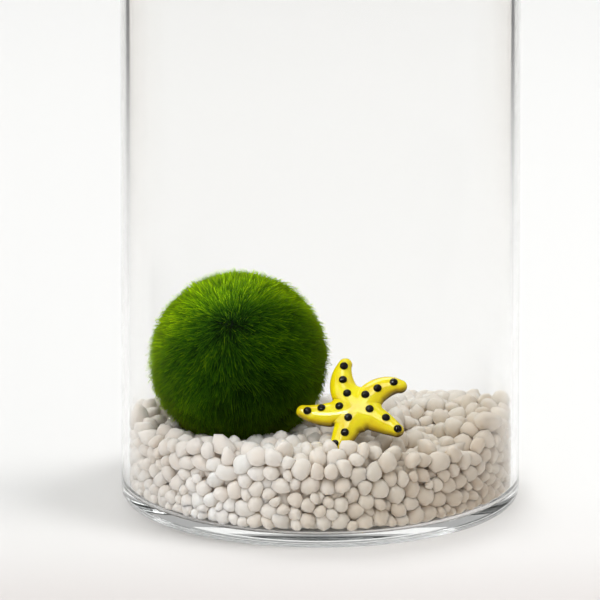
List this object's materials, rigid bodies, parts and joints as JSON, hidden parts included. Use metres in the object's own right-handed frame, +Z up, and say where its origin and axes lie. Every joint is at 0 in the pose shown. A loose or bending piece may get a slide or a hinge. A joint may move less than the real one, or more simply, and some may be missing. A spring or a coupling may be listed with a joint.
{
  "type": "marimo moss ball in a glass jar",
  "caption": "Round green moss ball on white gravel in a tall open glass cylinder, with a leaning yellow glazed starfish.",
  "frame": {"origin": "centre of the jar's underside", "axes": "+Z up along the jar's axis, -Y to the front of the jar, where the moss ball is on the left and the starfish on the right"},
  "size_m": [0.1, 0.1, 0.15],
  "materials": {
    "clear_glass": "clear, smooth, fire-polished rim",
    "white_gravel": "matt, tumbled",
    "green_moss": "soft fine filaments",
    "yellow_glaze": "glossy glaze",
    "black_glaze": "glossy raised drops"
  },
  "bodies": {
    "root": {"jar": "clear_glass", "gravel_bed": "white_gravel", "moss_ball": "green_moss", "starfish": "yellow_glaze", "starfish_dot_01": "black_glaze", "starfish_dot_02": "black_glaze", "starfish_dot_03": "black_glaze", "starfish_dot_04": "black_glaze", "starfish_dot_05": "black_glaze", "starfish_dot_06": "black_glaze", "starfish_dot_07": "black_glaze", "starfish_dot_08": "black_glaze", "starfish_dot_09": "black_glaze", "starfish_dot_10": "black_glaze", "starfish_dot_11": "black_glaze", "starfish_dot_12": "black_glaze", "starfish_dot_13": "black_glaze", "starfish_dot_14": "black_glaze", "starfish_dot_15": "black_glaze"}
  },
  "joints": []
}
